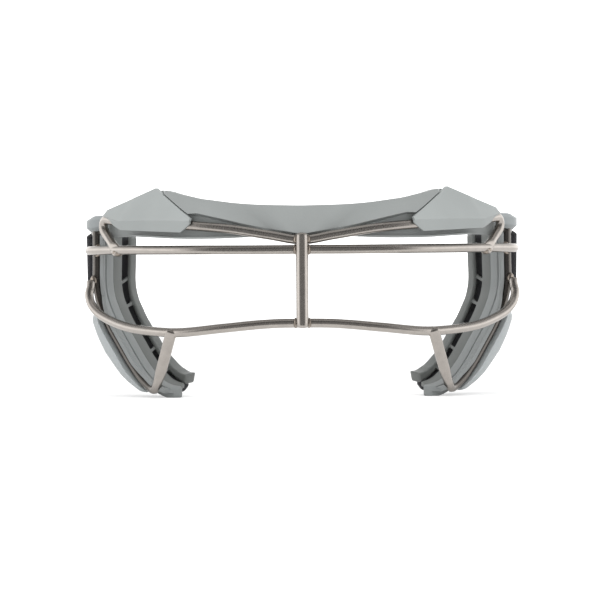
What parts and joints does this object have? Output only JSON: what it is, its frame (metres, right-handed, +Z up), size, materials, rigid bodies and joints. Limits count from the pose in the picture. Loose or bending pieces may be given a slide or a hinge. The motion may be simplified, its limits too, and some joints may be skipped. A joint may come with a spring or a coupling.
{
  "type": "lacrosse goggles",
  "caption": "Wire-cage lacrosse goggles: moulded brow with wing covers, padded cheek guards on bent rods, welded steel cage and an adjustable elastic head strap.",
  "frame": {"origin": "under the middle of the whole, on the level that the two cheek guards stand on", "axes": "+X to the right as seen from the front, +Y from the nose bridge back to the wearer's head, +Z up"},
  "size_m": [0.176, 0.2064, 0.0828],
  "materials": {
    "steel_wire": "satin",
    "light_plastic": "satin",
    "mid_plastic": "satin",
    "dark_plastic": "satin",
    "pad_foam": "matte",
    "strap_webbing": "matte"
  },
  "bodies": {
    "goggles": {"upper_wire": "steel_wire", "lower_wire": "steel_wire", "brow_wire": "steel_wire", "nose_bridge_rod": "steel_wire", "side_rod_right": "steel_wire", "side_rod_left": "steel_wire", "wing_cover_right": "light_plastic", "wing_cover_left": "light_plastic", "brow_shell": "mid_plastic", "wing_screw_right": "steel_wire", "wing_screw_left": "steel_wire", "temple_arm_right": "light_plastic", "temple_arm_left": "light_plastic", "strap_bar_right": "steel_wire", "strap_bar_left": "steel_wire", "brow_pad": "pad_foam", "cheek_frame_right": "mid_plastic", "cheek_frame_left": "mid_plastic", "cheek_cover_right": "light_plastic", "cheek_cover_left": "light_plastic", "pad_carrier_right": "dark_plastic", "pad_carrier_left": "dark_plastic", "cheek_cushion_right": "pad_foam", "cheek_cushion_left": "pad_foam", "head_strap": "strap_webbing"},
    "slider_right": {"strap_slider_right": "dark_plastic"},
    "slider_left": {"strap_slider_left": "dark_plastic"}
  },
  "joints": [
    {"name": "slider_right_slide", "type": "slide", "parent": "goggles", "child": "slider_right", "axis": [-0.0533, 0.98, 0.1917], "range_m": [-0.012, 0.012]},
    {"name": "slider_left_slide", "type": "slide", "parent": "goggles", "child": "slider_left", "axis": [0.0533, 0.98, 0.1917], "range_m": [-0.012, 0.012]}
  ]
}
